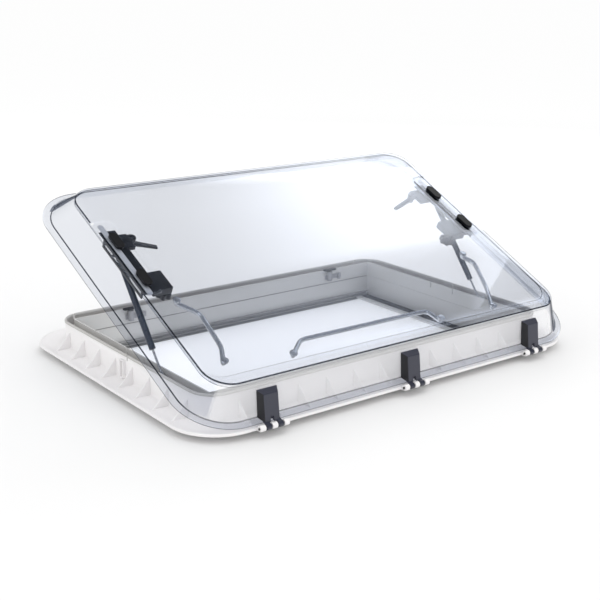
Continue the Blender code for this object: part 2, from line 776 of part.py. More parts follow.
def stay(side, name):
    x = side * STAY_X
    foot = Vector((x, FRONT_Y + STAY_FOOT_Y, STAY_FOOT_Z))
    turned = Matrix.Rotation(OPENING_ANGLE, 3, "X") @ Vector((0, *STAY_SLOT))
    head = Vector((x, HINGE_Y, HINGE_HEIGHT)) + Vector((0, turned.y, turned.z))
    reach = hypot(head.y - foot.y, head.z - foot.z)
    slope = atan2(head.z - foot.z, head.y - foot.y)
    print(name, "stay length", round(reach, 5), "slope", round(degrees(slope), 3))

    low, high = sorted((x + side * 0.0070, x + side * 0.0100))
    bracket = block(name + "_stay_foot", (low, foot.y - 0.009, CHANNEL_FLOOR + GAP), (high, foot.y + 0.009, 0.0565), 0.0005)
    stud = rod("stud", (x + side * 0.0080, foot.y, foot.z), (x - side * 0.0062, foot.y, foot.z), 0.0025)
    combine(bracket, stud, "UNION")
    dress(bracket, "steel")

    stay_axis = empty(name + "_stay_axis", foot, (slope - pi / 2, 0, 0))
    eye = ball(name + "_stay_rod", (0, 0, 0), 0.0055)
    combine(eye, rod("shank", (0, 0, 0.003), (0, 0, 0.200), 0.0025), "UNION")
    combine(eye, rod("eye_bore", (-0.01, 0, 0), (0.01, 0, 0), 0.0028), "DIFFERENCE")
    dress(eye, "steel", stay_axis)

    body = rod(name + "_stay_cylinder", (0, 0, 0.057), (0, 0, reach - 0.008), 0.0070, steps=24)
    combine(body, ball("head", (0, 0, reach), 0.0065), "UNION")
    combine(body, rod("neck", (0, 0, reach - 0.012), (0, 0, reach), 0.0040), "UNION")
    combine(body, rod("slide_pin", (0, 0, reach), (side * 0.0142, 0, reach), 0.0032), "UNION")
    combine(body, rod("body_bore", (0, 0, 0.040), (0, 0, 0.235), 0.0028), "DIFFERENCE")
    dress(body, "stay_paint", stay_axis)


outer_frame()
rim_seal()
upper_liner()
inner_frame()
guide_rail("front_guide_rail", OPENING[1], 1)
guide_rail("back_guide_rail", OPENING[2], -1)
covering("blind", -1, "blind_fabric")
covering("screen", 1, "screen_fabric")
catch("left_catch", -1)
catch("right_catch", 1)
outer_dome()
inner_pane()
hinges()
for fitting_side, fitting_name in ((-1, "left"), (1, "right")):
    side_fittings(fitting_side, fitting_name)
    stay(fitting_side, fitting_name)
for handle_name, (handle_feet, handle_grips) in HANDLES.items():
    handle(handle_name, handle_feet, handle_grips)
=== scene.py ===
"""Looks for a hinged double-glazed roof light that stands open on its two stays.

+X runs along the hinge side, +Y towards the free side and +Z up out of the roof. Lengths are in
metres. Pieces of the lid are shaped in the lid's own axes (u, v, w) and then turned to its place.
"""

from math import cos, pi, radians, sin

import bmesh
import bpy
from mathutils import Matrix, Vector


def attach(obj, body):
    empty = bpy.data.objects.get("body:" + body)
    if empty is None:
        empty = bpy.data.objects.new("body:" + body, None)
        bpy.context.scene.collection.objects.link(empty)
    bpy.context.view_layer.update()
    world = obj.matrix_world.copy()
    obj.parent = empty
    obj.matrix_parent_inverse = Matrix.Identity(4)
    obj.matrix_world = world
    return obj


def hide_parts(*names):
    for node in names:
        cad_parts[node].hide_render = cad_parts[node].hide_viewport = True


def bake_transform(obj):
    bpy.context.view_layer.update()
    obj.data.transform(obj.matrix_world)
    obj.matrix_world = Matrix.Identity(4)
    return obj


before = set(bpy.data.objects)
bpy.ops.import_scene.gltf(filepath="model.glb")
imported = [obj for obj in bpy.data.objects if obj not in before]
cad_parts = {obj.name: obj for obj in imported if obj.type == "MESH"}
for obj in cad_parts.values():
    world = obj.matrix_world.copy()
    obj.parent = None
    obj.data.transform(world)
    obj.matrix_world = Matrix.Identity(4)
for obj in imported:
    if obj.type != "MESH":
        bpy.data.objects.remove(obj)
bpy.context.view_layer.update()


# Outer frame: one white injection moulding, with a wide flange that is bonded to the roof, an
# upright collar, and a channel inside the collar, coloured grey, in which the closed stays lie.

class Value:
    """A number that varies over a surface. Arithmetic on it adds the Math nodes."""

    def __init__(self, finish, socket):
        self.finish = finish
        self.socket = socket

    def with_math(self, operation, *values):
        return self.finish.node("Math", {"operation": operation}, dict(enumerate(values)))

    def __add__(self, other):
        return self.with_math("ADD", self, other)

    def __mul__(self, other):
        return self.with_math("MULTIPLY", self, other)

    def __pow__(self, other):
        return self.with_math("POWER", self, other)

    __radd__ = __add__
    __rmul__ = __mul__


class Finish:
    """A material in the making. Its shader's own sockets hold what is the same all over."""

    def __init__(self, name, colour, roughness, **constants):
        self.material = bpy.data.materials.new(name)
        self.material.use_nodes = True
        self.nodes = self.material.node_tree.nodes
        self.shader = self.nodes["Principled BSDF"]
        self.set("Base Color", (*colour, 1.0))
        self.set("Roughness", roughness)
        for socket, value in constants.items():
            self.set(socket.replace("_", " ").title().replace("Ior", "IOR"), value)

    def set(self, socket, value):
        if isinstance(value, Value):
            self.material.node_tree.links.new(value.socket, self.shader.inputs[socket])
        else:
            self.shader.inputs[socket].default_value = value

    def node(self, kind, settings, values, output=0):
        made = self.nodes.new("ShaderNode" + kind)
        for setting, value in settings.items():
            setattr(made, setting, value)
        for socket, value in values.items():
            if isinstance(value, Value):
                self.material.node_tree.links.new(value.socket, made.inputs[socket])
            else:
                made.inputs[socket].default_value = value
        return Value(self, made.outputs[output])

    def places(self):
        return self.node("TexCoord", {}, {}, "Object")

    def along(self, axis):
        return self.node("SeparateXYZ", {}, {0: self.places()}, axis)

    def noise(self, scale, detail=3.0, stretch=(1, 1, 1)):
        places = self.node("Mapping", {}, {"Vector": self.places(), "Scale": stretch})
        return self.node("TexNoise", {}, {"Vector": places, "Scale": scale, "Detail": detail}, 0)

    def mix(self, share, first, second):
        """A colour between two others."""
        colours = [c if isinstance(c, Value) else (*c, 1.0) for c in (first, second)]
        values = {0: share, 6: colours[0], 7: colours[1]}
        return self.node("Mix", {"data_type": "RGBA"}, values, 2)

    def bump(self, height, strength, distance):
        values = {"Height": height, "Strength": strength, "Distance": distance}
        self.set("Normal", self.node("Bump", {}, values))


MERGE = 1e-6
SMOOTH_UP_TO = radians(50)
GRAIN_DEPTH = 0.00015


def moulded(name, colour, roughness, cloud=0.05, relief=0.12, fine=900.0, **constants):
    """Moulded plastic: faint clouding, a fine spark-eroded grain and patchy gloss."""
    finish = Finish(name, colour, roughness, **constants)
    patches = finish.noise(7.0)
    darker = tuple(c * (1 - cloud) for c in colour)
    finish.set("Base Color", finish.mix(patches, darker, colour))
    grain = finish.noise(fine, 2.0)
    finish.set("Roughness", patches * 0.10 + grain * 0.05 + (roughness - 0.075))
    finish.bump(grain, relief, GRAIN_DEPTH)
    return finish


def placed(name, bm):
    """Puts a bmesh in the scene as an object of its own."""
    mesh = bpy.data.meshes.new(name)
    bm.to_mesh(mesh)
    bm.free()
    made = bpy.data.objects.new(name, mesh)
    bpy.context.scene.collection.objects.link(made)
    return made


def face_outwards(bm):
    bmesh.ops.recalc_face_normals(bm, faces=bm.faces)
    if bm.calc_volume(signed=True) < 0:
        bmesh.ops.reverse_faces(bm, faces=bm.faces)


def round_edges(piece, width, steps, angle):
    edges = piece.modifiers.new("rounded_edges", "BEVEL")
    edges.width = width
    edges.segments = steps
    edges.limit_method = "ANGLE"
    edges.angle_limit = radians(angle)


def shown(name, bm, body, finish, nodes=(), place=None,
          rounding=0.0, steps=2, angle=35, accents=()):
    """Makes a finished piece of a bmesh: rounded and smooth, riding on its body for its CAD nodes.
    Each accent is a second finish and the test of a face's middle that picks where it shows."""
    bmesh.ops.remove_doubles(bm, verts=bm.verts, dist=MERGE)
    face_outwards(bm)
    for number, (_, chosen) in enumerate(accents):
        for face in bm.faces:
            if chosen(face.calc_center_median()):
                face.material_index = number + 1
    if place is not None:
        bmesh.ops.transform(bm, matrix=place, verts=bm.verts)
    made = placed(name, bm)
    for used in (finish, *[accent for accent, _ in accents]):
        made.data.materials.append(used.material)
    if rounding:
        round_edges(made, rounding, steps, angle)
    made.data.shade_smooth()
    made.data.set_sharp_from_angle(angle=SMOOTH_UP_TO)
    if nodes:
        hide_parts(*nodes)
    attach(made, body)


def inset(outline, by):
    """A (half, front, back, radius) outline moved inwards."""
    half, front, back, radius = outline
    return half - by, front + by, back - by, max(radius - by, 0.0005)


def loft(stations, closed=True, steps=12):
    """Rounded rectangles (half, front, back, radius, height) bridged in turn, as a ring when closed."""
    bm = bmesh.new()
    loops = []
    for number, (half, front, back, radius, height) in enumerate(stations):
        known = set(bm.verts)
        sides = ((-half, front), (half, front), (half, back), (-half, back))
        corners = [bm.verts.new((x, y, height)) for x, y in sides]
        bm.faces.new(corners)
        bmesh.ops.bevel(
            bm, geom=corners, affect="VERTICES", offset=radius, segments=steps, profile=0.5, material=-1
        )
        fresh = [v for v in bm.verts if v not in known]
        if closed or 0 < number < len(stations) - 1:
            faces = list({face for v in fresh for face in v.link_faces})
            bmesh.ops.delete(bm, geom=faces, context="FACES_ONLY")
        loops.append(list({edge for v in fresh for edge in v.link_edges}))
    pairs = list(zip(loops, loops[1:]))
    if closed:
        pairs.append((loops[-1], loops[0]))
    for first, second in pairs:
        bmesh.ops.bridge_loops(bm, edges=first + second)
    return bm


def block(low, high):
    bm = bmesh.new()
    bmesh.ops.create_cube(bm, size=1.0)
    size = Vector(high) - Vector(low)
    bmesh.ops.scale(bm, vec=size, verts=bm.verts)
    bmesh.ops.translate(bm, vec=Vector(low) + size / 2, verts=bm.verts)
    return bm


def cylinder(start, end, radius, steps=32):
    along = Vector(end) - Vector(start)
    bm = bmesh.new()
    bmesh.ops.create_cone(
        bm, cap_ends=True, segments=steps, radius1=radius, radius2=radius, depth=along.length
    )
    turn = Vector((0, 0, 1)).rotation_difference(along).to_matrix().to_4x4()
    middle = Matrix.Translation((Vector(start) + Vector(end)) / 2)
    bmesh.ops.transform(bm, matrix=middle @ turn, verts=bm.verts)
    return bm


def together(*bodies):
    """Separate solids of one piece in one bmesh."""
    bm = bodies[0]
    for other in bodies[1:]:
        mesh = bpy.data.meshes.new("passing")
        other.to_mesh(mesh)
        other.free()
        bm.from_mesh(mesh)
        bpy.data.meshes.remove(mesh)
    return bm


def carve(bm, joins, cuts):
    """Joins solids to a body and then cuts others away, by Boolean, and returns the new bmesh."""
    tools = []

    def solid(source, name):
        face_outwards(source)
        tools.append(placed(name, source))
        return tools[-1]

    body = solid(bm, "carved")
    for operation, sources in (("UNION", joins), ("DIFFERENCE", cuts)):
        for source in sources:
            change = body.modifiers.new("carve", "BOOLEAN")
            change.operation = operation
            change.object = solid(source, "tool")
    graph = bpy.context.evaluated_depsgraph_get()
    result = bpy.data.meshes.new_from_object(body.evaluated_get(graph))
    carved = bmesh.new()
    carved.from_mesh(result)
    bpy.data.meshes.remove(result)
    for tool in tools:
        bpy.data.objects.remove(tool, do_unlink=True)
    return carved


FLANGE = (0.530, -0.030, 0.746, 0.105)
FLANGE_TOP = 0.0055
COLLAR = (0.479, 0.034, 0.674, 0.056)
COLLAR_WALL = 0.0035
COLLAR_TOP = 0.058
CHANNEL_FLOOR = 0.041
OPENING = (0.448, 0.065, 0.643, 0.004)
HINGE_Y = -0.041
HINGE_Z = 0.007
HINGE_PLACES = {"left": -0.370, "middle": 0.0, "right": 0.370}
RIB_PITCH = 0.0728

shell_white = moulded("shell_white", (0.87, 0.855, 0.855), 0.42, cloud=0.03, relief=0.06)
channel_grey = moulded("channel_grey", (0.46, 0.445, 0.43), 0.5)

collar_inner = inset(COLLAR, COLLAR_WALL)
channel_edge = inset(OPENING, -0.0034)
outer_frame = loft([
    (*inset(FLANGE, 0.0004), 0.0),
    (*FLANGE, 0.0012),
    (*FLANGE, FLANGE_TOP - 0.0012),
    (*inset(FLANGE, 0.0012), FLANGE_TOP),
    (*inset(FLANGE, 0.0060), FLANGE_TOP - 0.0001),
    (*inset(FLANGE, 0.0078), FLANGE_TOP - 0.0009),
    (*inset(COLLAR, -0.0030), FLANGE_TOP - 0.0010),
    (*COLLAR, FLANGE_TOP + 0.0020),
    (*COLLAR, COLLAR_TOP - 0.0010),
    (*inset(COLLAR, 0.0010), COLLAR_TOP),
    (*inset(collar_inner, -0.0005), COLLAR_TOP - 0.0001),
    (*collar_inner, CHANNEL_FLOOR),
    (*channel_edge, CHANNEL_FLOOR - 0.0001),
    (*channel_edge, CHANNEL_FLOOR - 0.0030),
    (*collar_inner, CHANNEL_FLOOR - 0.0031),
    (*collar_inner, 0.0001),
], steps=20)


def in_channel(middle):
    """Within the collar, down to the channel's floor."""
    half, front, back, radius = inset(COLLAR, 0.0012)
    x = max(abs(middle.x) - half + radius, 0)
    y = max(front + radius - middle.y, middle.y - back + radius, 0)
    return (x * x + y * y) ** 0.5 < radius and middle.z > CHANNEL_FLOOR - 0.0020


NOTCH_HALF = 0.0015
NOTCH_REACH = 0.01
NOTCH_LOW, NOTCH_HIGH = 0.0505, 0.07
BACK_NOTCHES = (-0.437, 0.422)
SIDE_NOTCH_Y = 0.337


def drain_notches():
    """Slots that let water out of the channel, over the collar's top edge."""
    places = [(x, COLLAR[2], NOTCH_HALF, NOTCH_REACH) for x in BACK_NOTCHES]
    places += [(x, SIDE_NOTCH_Y, NOTCH_REACH, NOTCH_HALF) for x in (-COLLAR[0], COLLAR[0])]
    return [
        block((x - half_x, y - half_y, NOTCH_LOW), (x + half_x, y + half_y, NOTCH_HIGH))
        for x, y, half_x, half_y in places
    ]


shown("outer_frame_shell", carve(outer_frame, [], drain_notches()), "frame", shell_white,
      ["outer_frame"], accents=[(channel_grey, in_channel)])


GUSSET_TOP = 0.043
GUSSET_THICK = 0.0025
GUSSET_HOLLOW = 1.18


def gusset(wall, foot, turn, along):
    """A web with a hollow slope, standing on the flange against the collar."""
    bm = bmesh.new()
    bottom = FLANGE_TOP - 0.0016
    slope = [
        (wall + 0.0008 + (foot - wall) * t,
         GUSSET_TOP - (GUSSET_TOP - bottom) * (1 - (1 - t) ** GUSSET_HOLLOW))
        for t in (0.0, 0.2, 0.4, 0.6, 0.8, 1.0)
    ]
    profile = [(wall - 0.001, bottom), (wall - 0.001, GUSSET_TOP), *slope]
    web = bm.faces.new([bm.verts.new((-out, -GUSSET_THICK / 2, up)) for out, up in profile])
    raised = bmesh.ops.extrude_face_region(bm, geom=[web])
    moved = [item for item in raised["geom"] if isinstance(item, bmesh.types.BMVert)]
    bmesh.ops.translate(bm, vec=(0, GUSSET_THICK, 0), verts=moved)
    place = Matrix.Translation(along) @ Matrix.Rotation(turn, 4, "Z")
    bmesh.ops.transform(bm, matrix=place, verts=bm.verts)
    bmesh.ops.recalc_face_normals(bm, faces=bm.faces)
    return bm


END_COUNT, LONG_COUNT = 8, 12
MIDDLE_Y = 0.352
END_FOOT, BACK_FOOT, FRONT_FOOT = 0.5155, 0.7315, 0.010
webs = []
for turn, wall, foot, count in (
    (0, COLLAR[0], END_FOOT, END_COUNT), (pi, COLLAR[0], END_FOOT, END_COUNT),
    (-pi / 2, COLLAR[2], BACK_FOOT, LONG_COUNT), (pi / 2, -COLLAR[1], FRONT_FOOT, LONG_COUNT),
):
    for step in range(count):
        shift = RIB_PITCH * (step - (count - 1) / 2)
        along = (0, MIDDLE_Y + shift, 0) if count == END_COUNT else (shift, 0, 0)
        webs.append(gusset(wall, foot, turn, along))
shown("frame_gussets", together(*webs), "frame", shell_white, rounding=0.0004, steps=2)

STAPLE_X = (-0.4865, -0.4785)
STAPLE_Y = (0.3443, 0.3597)
STAPLE_Z = (0.010, 0.051)
WIRE = 0.0024
staple = [
    block((STAPLE_X[0], y, STAPLE_Z[0]), (STAPLE_X[1], y + WIRE, STAPLE_Z[1]))
    for y in (STAPLE_Y[0], STAPLE_Y[1] - WIRE)
] + [
    block((STAPLE_X[0], STAPLE_Y[0], z), (STAPLE_X[1], STAPLE_Y[1], z + WIRE))
    for z in (STAPLE_Z[0], STAPLE_Z[1] - WIRE)
]
shown("frame_wall_staple", together(*staple), "frame", shell_white, rounding=0.0004)

KNUCKLE_PITCH = 0.014
KNUCKLE_WIDTH = 0.012
FRAME_KNUCKLE_RADIUS = 0.0066
for side, middle in HINGE_PLACES.items():
    knuckles = []
    for step in (-2, 0, 2):
        low = middle + step * KNUCKLE_PITCH - KNUCKLE_WIDTH / 2
        high = low + KNUCKLE_WIDTH
        knuckles.append(
            cylinder((low, HINGE_Y, HINGE_Z), (high, HINGE_Y, HINGE_Z), FRAME_KNUCKLE_RADIUS)
        )
        knuckles.append(block((low, HINGE_Y, 0.0005), (high, -0.0292, FLANGE_TOP - 0.0003)))
    shown(side + "_frame_knuckles", together(*knuckles), "frame", shell_white,
          rounding=0.0008, steps=3)


# CAD parts whose shape is already right keep it. Each gets softened edges and its own finish.

def keep(node, finish, rounding=0.0006, steps=2, angle=35):
    """Rounds and finishes a CAD part where it stands."""
    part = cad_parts[node]
    part.data.materials.clear()
    part.data.materials.append(finish.material)
    for face in part.data.polygons:
        face.use_smooth = True
    weld = part.modifiers.new("weld", "WELD")
    weld.merge_threshold = 0.00001
    if rounding:
        round_edges(part, rounding, steps, angle)
    smooth = part.modifiers.new("even_shading", "WEIGHTED_NORMAL")
    smooth.keep_sharp = True
    smooth.weight = 80


# Rim seal: a hollow bulb of grey rubber pressed on the collar's top edge.

seal_rubber = moulded("seal_rubber", (0.56, 0.55, 0.53), 0.62, cloud=0.15, relief=0.25, fine=1600)
seal_outer = inset(COLLAR, -0.0008)
rim_seal = loft([
    (*seal_outer, 0.0587), (*seal_outer, 0.0616), (*inset(seal_outer, 0.0008), 0.0632),
    (*inset(seal_outer, 0.0022), 0.0640), (*inset(seal_outer, 0.0036), 0.0634),
    (*inset(seal_outer, 0.0048), 0.0616), (*inset(seal_outer, 0.0050), 0.0587),
], steps=20)
shown("rim_seal_bulb", carve(rim_seal, [], drain_notches()), "frame", seal_rubber,
      ["rim_seal"])


# Liner and inner frame: two light grey mouldings that meet half way down the opening and hide
# the edge of the roof, with the guide rails for the coverings screwed along the bottom.

liner_grey = moulded("liner_grey", (0.62, 0.615, 0.60), 0.5, cloud=0.05, relief=0.10)
keep("upper_liner", liner_grey, rounding=0.0008)
keep("inner_frame", liner_grey, rounding=0.0008)
rail_grey = moulded("rail_grey", (0.33, 0.33, 0.33), 0.45, cloud=0.05)
# A dark strip along the joint between the liner and the inner frame is painted shade for the gap
# between them.
painted_joint_shade = moulded("painted_joint_shade", (0.10, 0.095, 0.09), 0.6)
joint_shade_bar = block((-0.4440, 0.6424, 0.0214), (0.4440, 0.6434, 0.0226))
shown("joint_shade_strip", joint_shade_bar, "frame", painted_joint_shade, rounding=0.0002)
keep("front_guide_rail", rail_grey, rounding=0.0002)
keep("back_guide_rail", rail_grey, rounding=0.0002)


# Blind and insect screen: each is a pleated sheet, folded up against one end of the opening and
# glued to a grip bar that draws it across between the guide rails.

# The side it folds to, the bottom and top of its track, and its count of pleats.
TRACKS = {"blind": (-1, -0.0286, -0.0220, 80), "screen": (1, -0.0368, -0.0309, 92)}
PACK = (0.4205, 0.4460)
PLEAT_SPAN = (0.0738, 0.6342)
BAR_X = 0.412
BAR_HALF = 0.0075
BAR_SPAN = (0.068, 0.640)
TRACK_GAP = 0.0006


def woven(name, colour, fine, gap):
    """Cloth: crossing threads over the folds, with a soft sheen."""
    finish = Finish(name, colour, 0.9, Sheen_Weight=0.3)
    threads = finish.node("TexWave", {"wave_type": "BANDS", "bands_direction": "Y"},
                          {"Vector": finish.places(), "Scale": fine, "Distortion": 0.6})
    slubs = finish.noise(300.0, 3.0, (1, 0.05, 1))
    dark = tuple(c * gap for c in colour)
    finish.set("Base Color", finish.mix(threads * 0.6 + slubs * 0.4, dark, colour))
    finish.set("Roughness", threads * 0.1 + 0.82)
    finish.bump(threads + slubs, 0.3, 0.0002)
    return finish


bar_grey = moulded("bar_grey", (0.62, 0.62, 0.61), 0.4)
cloths = {
    "blind": woven("blind_cloth", (0.42, 0.42, 0.40), 700.0, 0.8),
    "screen": woven("screen_mesh", (0.10, 0.10, 0.10), 500.0, 0.4),
}
for kind, (side, bottom, top, pleats) in TRACKS.items():
    bm = bmesh.new()
    low, high = bottom + TRACK_GAP, top - TRACK_GAP
    pitch = (PACK[1] - PACK[0]) / (2 * pleats)
    ends = [bm.verts.new((side * (PACK[1] - 0.0002), y, low)) for y in PLEAT_SPAN]
    front = bm.edges.new(ends)
    run = [front]
    for fold in range(2 * pleats):
        made = bmesh.ops.extrude_edge_only(bm, edges=run)
        run = [item for item in made["geom"] if isinstance(item, bmesh.types.BMEdge)]
        new = [item for item in made["geom"] if isinstance(item, bmesh.types.BMVert)]
        rise = (high - low) * (1 if fold % 2 == 0 else -1)
        bmesh.ops.translate(bm, vec=(-side * pitch, 0, rise), verts=new)
    folds = [e for e in bm.edges if abs(e.verts[0].co.y - e.verts[1].co.y) > 0.1]
    bmesh.ops.subdivide_edges(bm, edges=folds, cuts=11)
    cloth = placed(kind + "_pleated_sheet", bm)
    cloth.data.materials.append(cloths[kind].material)
    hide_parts(kind + "_pleats")
    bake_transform(cloth)
    one_fold = ((high - low) ** 2 + pitch ** 2) ** 0.5
    length = 2 * pleats * one_fold
    keep(kind + "_tray", rail_grey, rounding=0.0002)
    bar = block((side * BAR_X - BAR_HALF, BAR_SPAN[0], bottom),
                (side * BAR_X + BAR_HALF, BAR_SPAN[1], top))
    shown(kind + "_grip_bar", bar, kind + "_bar", bar_grey, [kind + "_bar"],
          rounding=0.0018, steps=4)


# Catches: a grey post and hook screwed to the free side's wall, and a black button that turns on
# each post to hold the closed lid.

catch_grey = moulded("catch_grey", (0.36, 0.36, 0.37), 0.45)
button_black = moulded("button_black", (0.014, 0.015, 0.018), 0.34, cloud=0.2, relief=0.12)
for side in ("left", "right"):
    keep(side + "_catch", catch_grey, rounding=0.0005)
    keep(side + "_catch_button", button_black, rounding=0.0012, steps=3)


# Lid glazing: a blown dome of clear acrylic with a flat top, bonded to a flat inner pane with a
# pressed step round its edge. Each end of the dome has a shallow pocket for the fittings' bolts.

LID = Matrix.Translation((0, HINGE_Y, HINGE_Z)) @ Matrix.Rotation(radians(25.5), 4, "X")
RIM = (0.537, 0.012, 0.790, 0.112)
PLATE = (0.4855, 0.064, 0.716, 0.058)
PLATE_TOP = 0.070
GLAZING = 0.003


def clear(name, tint, sheen, veil=0.0, edge=0.35):
    """Clear acrylic: light passes with a faint tint, and glances off a face seen nearly along it.
    A veil is the share that the sheen covers from every side."""
    finish = Finish(name, sheen, 0.05, metallic=1.0 if veil == 0 else 0.0)
    links = finish.material.node_tree.links
    facing = finish.node("LayerWeight", {}, {"Blend": 0.5}, "Facing")
    smears = finish.noise(3.0, 2.0)
    share = (facing ** 5.0) * 0.96 + (facing ** 9.0) * edge + (smears * 0.01 + veil + 0.035)
    passing = finish.nodes.new("ShaderNodeBsdfTransparent")
    passing.inputs["Color"].default_value = (*tint, 1.0)
    blend = finish.nodes.new("ShaderNodeMixShader")
    links.new(share.socket, blend.inputs[0])
    links.new(passing.outputs[0], blend.inputs[1])
    links.new(finish.shader.outputs[0], blend.inputs[2])
    links.new(blend.outputs[0], finish.nodes["Material Output"].inputs["Surface"])
    return finish


def between(first, second, share):
    return tuple(a + (b - a) * share for a, b in zip(first, second))


acrylic = clear("dome_acrylic", (0.925, 0.935, 0.958), (0.86, 0.90, 0.97))
# A dark tint on the dome's bends, the flange's edge, the right pocket's wall and the pane's step is
# painted shade.
painted_edge_shade = clear("painted_edge_shade", (0.11, 0.12, 0.15), (0.03, 0.033, 0.045), veil=0.42)
# A dark tint in two corner wedges of the dome is painted shade.
painted_corner_shade = clear("painted_corner_shade", (0.34, 0.36, 0.42), (0.04, 0.05, 0.07), veil=0.25)
# A milky white veil on the dome's front wall is a painted sheen that lightens it.
painted_front_sheen = clear("painted_front_sheen", (0.97, 0.97, 0.975), (0.95, 0.95, 0.96), veil=0.20)
foot = (*inset(RIM, 0.0150), 0.0020)
brow = (*PLATE, PLATE_TOP - 0.0030)
under_foot = (*inset(RIM, 0.0175), -0.0010)
under_brow = (*inset(PLATE, GLAZING), PLATE_TOP - GLAZING)
dome = loft([
    (*inset(PLATE, 0.0042), PLATE_TOP),
    (*inset(PLATE, 0.0022), PLATE_TOP - 0.0004),
    (*inset(PLATE, 0.0008), PLATE_TOP - 0.0014),
    brow,
    between(foot, brow, 0.06),
    (*inset(RIM, 0.0135), 0.0030),
    (*inset(RIM, 0.0115), 0.0021),
    (*inset(RIM, 0.0010), 0.0020),
    (*RIM, 0.0012),
    (*RIM, -0.0002),
    (*inset(RIM, 0.0010), -0.0010),
    (*inset(RIM, 0.0165), -0.0008),
    between(under_foot, under_brow, 0.03),
    between(under_foot, under_brow, 0.97),
    (*inset(PLATE, GLAZING + 0.0030), PLATE_TOP - GLAZING),
], closed=False, steps=24)


def slab(middle, half, front, back, radius, low, high):
    """A level plate with rounded corners, between two heights."""
    bm = loft([(half, front, back, radius, low), (half, front, back, radius, high)], closed=False)
    bmesh.ops.translate(bm, vec=(middle, 0, 0), verts=bm.verts)
    return bm


POCKET_FLOOR = 0.065
POCKET_EDGE = 0.434
bosses = [slab(side * 0.459, 0.0280, 0.349, 0.599, 0.024, POCKET_FLOOR - GLAZING, 0.068)
          for side in (-1, 1)]
pockets = [slab(side * 0.5005, 0.0665, 0.352, 0.596, 0.021, POCKET_FLOOR, 0.090)
           for side in (-1, 1)]


def on_bend(middle):
    """The band where the flat top turns down, and the very edge of the flange, both tinted dark as
    painted shade.
    """
    top = PLATE_TOP - 0.0028 < middle.z < PLATE_TOP - 0.0006 and not on_pocket(middle)
    return top or -0.0003 < middle.z < 0.0013


def on_pocket(middle):
    return abs(middle.x) > 0.430 and 0.347 < middle.y < 0.601


# The dome's front wall, where the painted sheen goes.
def on_front(middle):
    return 0.0035 < middle.z < 0.0665 and middle.y < 0.068


# The right-hand pocket's wall only, tinted dark as painted shade.
def on_pocket_wall(middle):
    return abs(middle.x - POCKET_EDGE) < 0.001 and POCKET_FLOOR + 0.0002 < middle.z < PLATE_TOP


CORNER_X, FRONT_CORNER_Y, BACK_CORNER_Y = 0.426, 0.123, 0.668


def on_corner(middle):
    """A narrow wedge down two opposite corners, tinted dark as painted shade."""
    x, y = middle.x - CORNER_X, FRONT_CORNER_Y - middle.y
    if middle.x < 0:
        x, y = -CORNER_X - middle.x, middle.y - BACK_CORNER_Y
    low, high = (0.58, 1.9) if middle.x > 0 else (0.81, 1.45)
    return 0.004 < middle.z < 0.0668 and x > 0 and low < y / x < high


shown("dome_shell", carve(dome, bosses, pockets), "lid", acrylic, ["outer_dome"],
      place=LID, accents=[(painted_edge_shade, on_bend), (painted_front_sheen, on_front),
                          (painted_edge_shade, on_pocket_wall), (painted_corner_shade, on_corner)])

pane_acrylic = clear("pane_acrylic", (0.985, 0.988, 0.993), (0.86, 0.90, 0.97))
PANE = (0.485, 0.064, 0.718, 0.058)
STEP = (0.4830, 0.0955, 0.7130, 0.050)
pane = loft([
    (*inset(STEP, 0.0030), 0.0600), (*inset(STEP, 0.0010), 0.0603),
    (*inset(STEP, -0.0004), 0.0613), (*inset(PANE, 0.0006), 0.0618),
    (*PANE, 0.0612), (*PANE, 0.0599),
    (*inset(PANE, 0.0006), 0.0593), (*inset(STEP, -0.0002), 0.0588),
    (*inset(STEP, 0.0012), 0.0578), (*inset(STEP, 0.0032), 0.0575),
], closed=False, steps=20)
# The pane's pressed step is tinted dark as painted shade.
shown("inner_pane_pressing", pane, "lid", pane_acrylic, ["inner_pane"], place=LID,
      accents=[(painted_edge_shade, lambda middle: 0.0603 < middle.z < 0.0614)])


# Hinges: three black covers bonded to the dome, whose knuckles turn with the frame's on black pins.

COVER_FRONT_HALF, COVER_BACK_HALF = 0.0170, 0.0245
hinge_black = moulded("hinge_black", (0.036, 0.038, 0.058), 0.30,
                      cloud=0.15, relief=0.10, Coat_Weight=0.15)
# The covers' sides are darker than their faces: painted shade on one plastic.
painted_flank_shade = moulded("painted_flank_shade", (0.006, 0.006, 0.009), 0.36, cloud=0.15, relief=0.10)
pin_black = moulded("pin_black", (0.012, 0.012, 0.014), 0.35)
for side, middle in HINGE_PLACES.items():
    cover = bmesh.new()
    bmesh.ops.create_cube(cover, size=1.0)
    for v in cover.verts:
        front, low = v.co.y < 0, v.co.z < 0
        half = COVER_FRONT_HALF if front else COVER_BACK_HALF
        deep, high = {
            (True, True): (0.0060, 0.0030), (True, False): (0.0365, 0.0518),
            (False, True): (0.0262, 0.0028), (False, False): (0.0530, 0.0520),
        }[(front, low)]
        v.co = (half if v.co.x > 0 else -half, deep, high)
    notch = block((-0.0038, -0.010, -0.010), (0.0038, 0.0140, 0.0120))
    cover = carve(cover, [], [notch])
    bmesh.ops.translate(cover, vec=(middle, 0, 0), verts=cover.verts)
    shown(side + "_cover", cover, "lid", hinge_black, [side + "_hinge_cover"],
          place=LID, rounding=0.0014, steps=3, angle=28,
          accents=[(painted_flank_shade, lambda face: abs(face.x - middle) > 0.0185)])
    arms = []
    for step in (-1, 1):
        low = middle + step * KNUCKLE_PITCH - KNUCKLE_WIDTH / 2
        high = low + KNUCKLE_WIDTH
        arms.append(cylinder((low, 0, 0), (high, 0, 0), 0.0064))
        arms.append(block((low + 0.0004, 0.0, 0.0026), (high - 0.0004, 0.0150, 0.0058)))
    shown(side + "_cover_knuckles", together(*arms), "lid", hinge_black,
          place=LID, rounding=0.0007, steps=2)
    keep(side + "_hinge_pin", pin_black, rounding=0.0005)


# Side fittings: a light spacer between the panes, oblong bolt caps outside, and inside a slotted
# rail that carries a latch block with its lever and a clamp block with its star knob.

